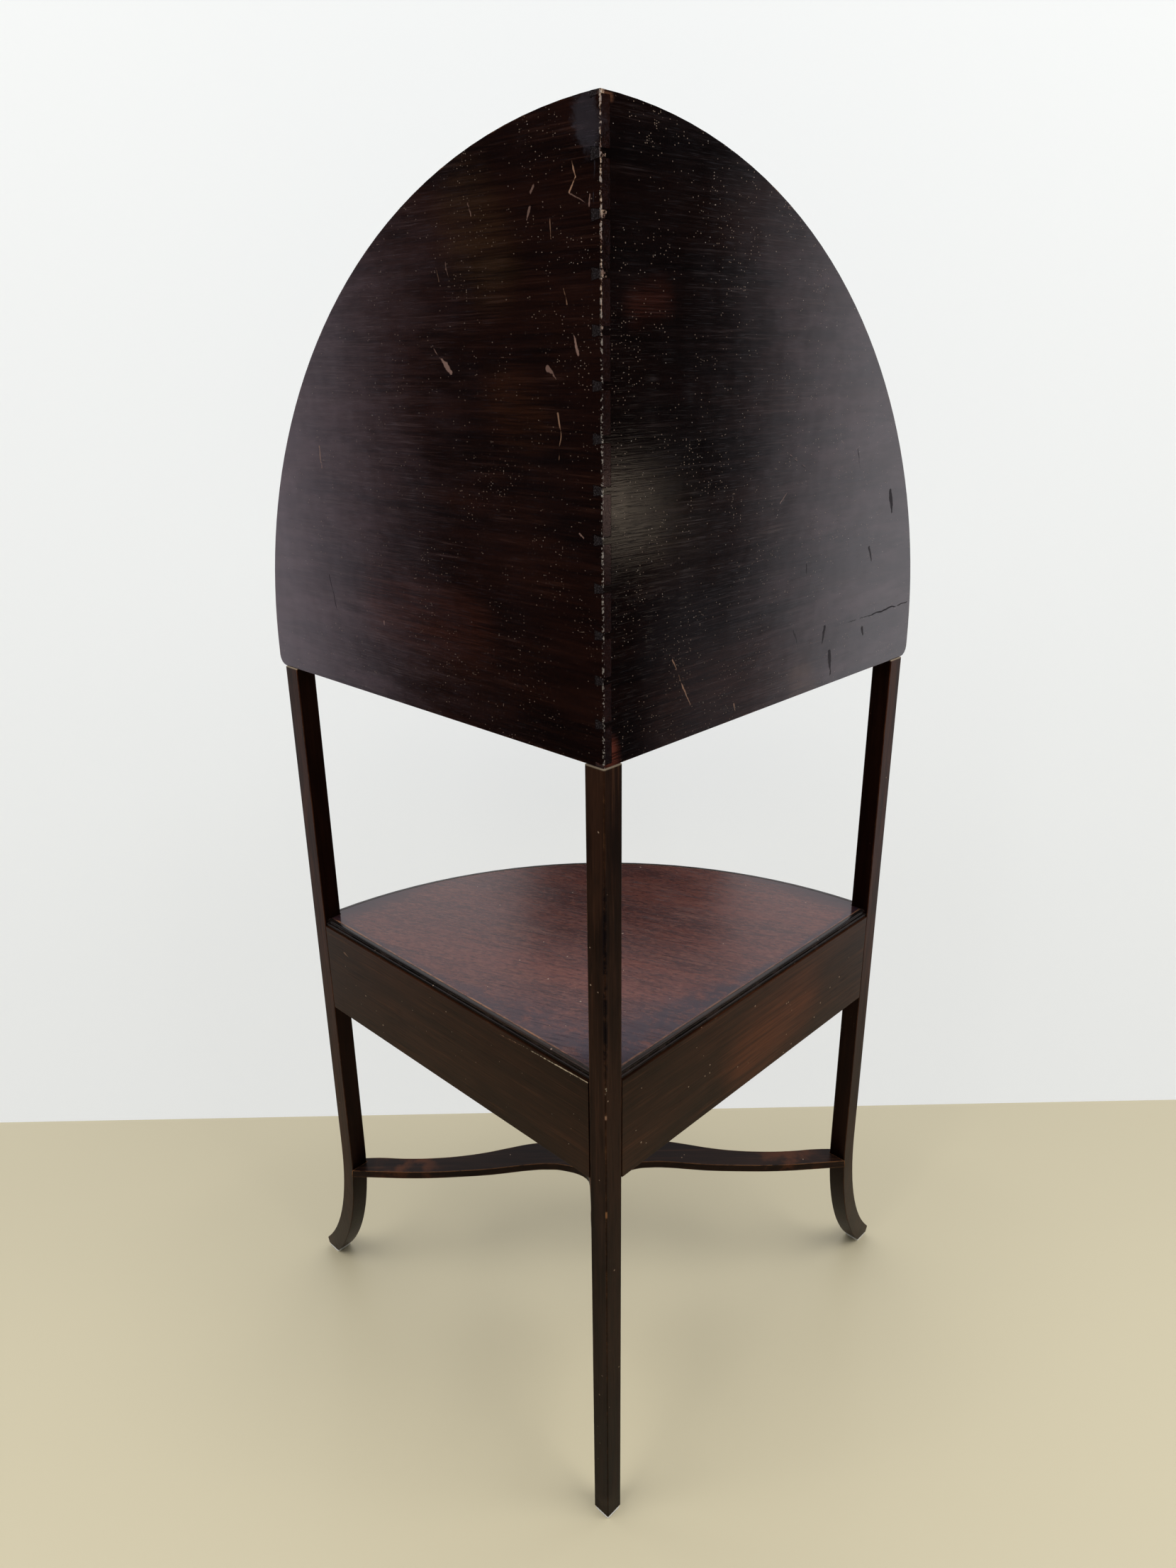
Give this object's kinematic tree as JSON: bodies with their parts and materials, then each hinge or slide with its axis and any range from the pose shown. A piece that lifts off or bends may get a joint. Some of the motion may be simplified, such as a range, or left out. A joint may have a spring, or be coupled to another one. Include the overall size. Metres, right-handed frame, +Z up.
{
  "type": "corner washstand",
  "caption": "Corner washstand with arched splash boards, basin top, mid shelf over a bowed drawer frieze, sabre feet and a shaped stretcher.",
  "frame": {"origin": "centre of the bounding box on the floor, under the soles of the feet", "axes": "+Z up, -Y towards the drawer, +Y towards the corner that fits the room's corner, +X to the right of someone at the drawer"},
  "size_m": [0.6887, 0.4248, 1.195],
  "materials": {
    "mahogany": "satin polish",
    "mahogany_red": "satin polish",
    "ebonised": "worn black polish",
    "pine": "bare",
    "brass": "aged polish",
    "felt": "matt"
  },
  "bodies": {
    "stand": {"splash_board_right": "mahogany", "splash_board_left": "mahogany", "basin_top": "mahogany_red", "top_apron": "mahogany", "top_cleat_right": "pine", "top_cleat_left": "pine", "top_block_right": "pine", "top_block_left": "pine", "back_leg": "mahogany", "right_leg": "mahogany", "left_leg": "mahogany", "foot_pad_back": "felt", "foot_pad_right": "felt", "foot_pad_left": "felt", "frieze_rail_right": "mahogany", "frieze_rail_left": "mahogany", "mid_shelf": "mahogany_red", "shelf_reeding_right": "ebonised", "shelf_reeding_left": "ebonised", "shelf_reeding_front": "ebonised", "bow_rail_lower": "mahogany", "bow_rail_upper": "mahogany", "dummy_front_right": "mahogany", "dummy_front_left": "mahogany", "dummy_knob_right": "brass", "dummy_knob_left": "brass", "drawer_runner_right": "pine", "drawer_runner_left": "pine", "drawer_guide_right": "pine", "drawer_guide_left": "pine", "stretcher": "mahogany"},
    "drawer": {"drawer_front": "mahogany", "drawer_side_right": "pine", "drawer_side_left": "pine", "drawer_back": "pine", "drawer_bottom": "pine", "drawer_knob": "brass"}
  },
  "joints": [
    {"name": "drawer_slide", "type": "slide", "parent": "stand", "child": "drawer", "axis": [0, -1, 0], "range_m": [0, 0.17]}
  ]
}
